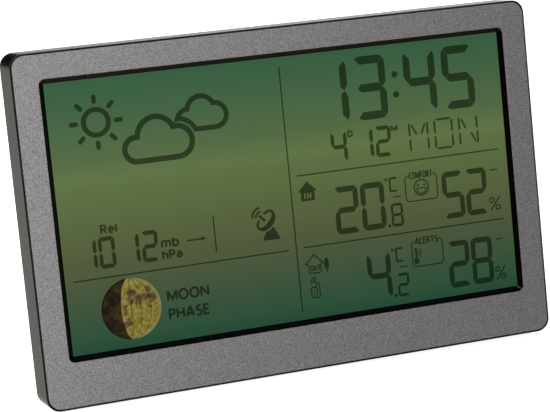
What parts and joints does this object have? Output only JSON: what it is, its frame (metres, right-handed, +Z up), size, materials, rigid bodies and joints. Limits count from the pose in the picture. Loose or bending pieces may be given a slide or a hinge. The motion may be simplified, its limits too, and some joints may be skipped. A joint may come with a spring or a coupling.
{
  "type": "home weather station",
  "caption": "Flat desk weather station with a wide segment display in a metallic bezel, leaning back on a fold-out leg, with keys and a battery box behind.",
  "frame": {"origin": "centre of the base area on the table, under the middle of the bounding box", "axes": "+X to the right as seen from the front, +Y towards the back, +Z up; the front face looks along -Y and leans back 16.4 degrees"},
  "size_m": [0.2014, 0.0606, 0.1284],
  "materials": {
    "bezel_paint": "metallic anthracite paint with fine flake",
    "shell_paint": "satin graphite",
    "display_black": "polished black, see-through where it covers the lit segments",
    "display_glass": "clear, smooth",
    "display_picture": "lit from behind, green at top and bottom and olive in the middle",
    "acrylic": "clear, polished",
    "white_plastic": "moulded white",
    "key_plastic": "fine texture, dark grey",
    "rubber": "matt black",
    "steel": "zinc plated",
    "nickel": "nickel plated",
    "circuit_board": "green lacquer over glass fibre, tinned pads",
    "black_resin": "moulded black",
    "ferrite": "matt grey-black ceramic",
    "copper": "enamelled wire",
    "brass": "bright sheet",
    "silicone": "grey, banded",
    "battery_wrap": "printed sleeve, plain bands",
    "red_sleeve": "red insulation",
    "black_sleeve": "black insulation",
    "blue_sleeve": "shrunk sleeve"
  },
  "bodies": {
    "housing": {"front_bezel": "bezel_paint", "rear_shell": "shell_paint", "foot_left": "rubber", "foot_right": "rubber", "display_frame": "display_black", "lcd_front_glass": "display_picture", "lcd_rear_glass": "display_glass", "colour_film": "display_picture", "light_guide": "acrylic", "reflector_sheet": "white_plastic", "backlight_holder": "white_plastic", "led_bar_left": "circuit_board", "led_bar_right": "circuit_board", "zebra_strip": "silicone", "main_board": "circuit_board", "controller_chip": "black_resin", "quartz_crystal": "nickel", "capacitor": "blue_sleeve", "pressure_sensor": "nickel", "ferrite_rod": "ferrite", "antenna_coil": "copper", "radio_module": "circuit_board", "radio_antenna": "copper", "air_sensor": "circuit_board", "buzzer": "brass", "power_jack": "black_resin", "battery_wire_red": "red_sleeve", "battery_wire_black": "black_sleeve", "housing_screw_1": "steel", "board_screw_1": "steel", "housing_screw_2": "steel", "board_screw_2": "steel", "housing_screw_3": "steel", "board_screw_3": "steel", "housing_screw_4": "steel", "board_screw_4": "steel", "battery_1": "battery_wrap", "battery_2": "battery_wrap", "battery_3": "battery_wrap", "contact_left_lower": "nickel", "contact_left_upper": "nickel", "contact_right_lower": "nickel", "contact_right_upper": "nickel", "switch_set": "black_resin", "switch_up": "black_resin", "switch_down": "black_resin", "switch_alarm": "black_resin", "switch_channel": "black_resin", "switch_memory": "black_resin"},
    "stand": {"stand_leg": "shell_paint", "stand_pad": "rubber"},
    "battery_cover": {"battery_door": "shell_paint"},
    "set_key": {"key_set": "key_plastic"},
    "up_key": {"key_up": "key_plastic"},
    "down_key": {"key_down": "key_plastic"},
    "alarm_key": {"key_alarm": "key_plastic"},
    "channel_key": {"key_channel": "key_plastic"},
    "memory_key": {"key_memory": "key_plastic"}
  },
  "joints": [
    {"name": "leg_fold", "type": "hinge", "parent": "housing", "child": "stand", "pos_m": [0, 0.01059, 0.07292], "axis": [1, 0, 0], "range_deg": [-30, 0]},
    {"name": "door_slide", "type": "slide", "parent": "housing", "child": "battery_cover", "axis": [0, -0.2823, -0.9593], "range_m": [0, 0.01]},
    {"name": "set_press", "type": "slide", "parent": "housing", "child": "set_key", "axis": [0, -0.9593, 0.2823], "range_m": [0, 0.0007], "stiffness_N_per_m": 800},
    {"name": "up_press", "type": "slide", "parent": "housing", "child": "up_key", "axis": [0, -0.9593, 0.2823], "range_m": [0, 0.0007], "stiffness_N_per_m": 800},
    {"name": "down_press", "type": "slide", "parent": "housing", "child": "down_key", "axis": [0, -0.9593, 0.2823], "range_m": [0, 0.0007], "stiffness_N_per_m": 800},
    {"name": "alarm_press", "type": "slide", "parent": "housing", "child": "alarm_key", "axis": [0, -0.9593, 0.2823], "range_m": [0, 0.0007], "stiffness_N_per_m": 800},
    {"name": "channel_press", "type": "slide", "parent": "housing", "child": "channel_key", "axis": [0, -0.9593, 0.2823], "range_m": [0, 0.0007], "stiffness_N_per_m": 800},
    {"name": "memory_press", "type": "slide", "parent": "housing", "child": "memory_key", "axis": [0, -0.9593, 0.2823], "range_m": [0, 0.0007], "stiffness_N_per_m": 800}
  ]
}
